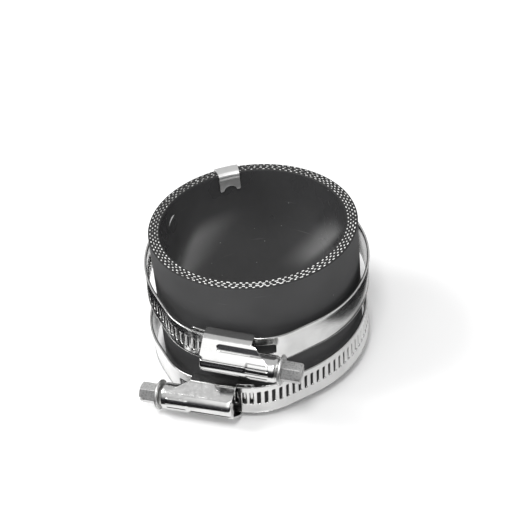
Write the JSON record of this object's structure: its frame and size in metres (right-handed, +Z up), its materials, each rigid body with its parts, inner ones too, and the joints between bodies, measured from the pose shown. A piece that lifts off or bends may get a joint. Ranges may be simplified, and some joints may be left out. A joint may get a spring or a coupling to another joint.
{
  "type": "charge air hose",
  "caption": "Short straight moulded charge air sleeve with plain open ends, a loose worm-drive clamp over each end and a spring clip on its rim",
  "frame": {"origin": "centre of the whole part's footprint, on the surface that the hose stands on", "axes": "+Z is up along the hose axis, from the lower end to the upper rim; -Y is the side of the clamp housings; +X is to the right seen from that side"},
  "size_m": [0.0848, 0.0954, 0.0527],
  "materials": {
    "hose_rubber": "matt dark grey silicone rubber with knitted plies showing on the cut rims",
    "clip_steel": "bright spring steel sheet",
    "band_steel": "bright rolled stainless strip with thread slots",
    "housing_steel": "bright pressed stainless sheet",
    "screw_steel": "bright cold-headed steel, slightly rough on the hexagon"
  },
  "bodies": {
    "root": {"hose": "hose_rubber", "rim_clip": "clip_steel", "upper_band": "band_steel", "upper_housing": "housing_steel", "lower_band": "band_steel", "lower_housing": "housing_steel"},
    "upper_screw_turn": {"upper_screw": "screw_steel"},
    "lower_screw_turn": {"lower_screw": "screw_steel"}
  },
  "joints": [
    {"name": "upper_screw_turn", "type": "hinge", "parent": "root", "child": "upper_screw_turn", "pos_m": [-0.01214, -0.03564, 0.0279], "axis": [0.9427, -0.3272, -0.0648], "continuous": true},
    {"name": "lower_screw_turn", "type": "hinge", "parent": "root", "child": "lower_screw_turn", "pos_m": [-0.01609, -0.0363, 0.00923], "axis": [-0.9253, 0.3778, -0.0324], "continuous": true}
  ]
}
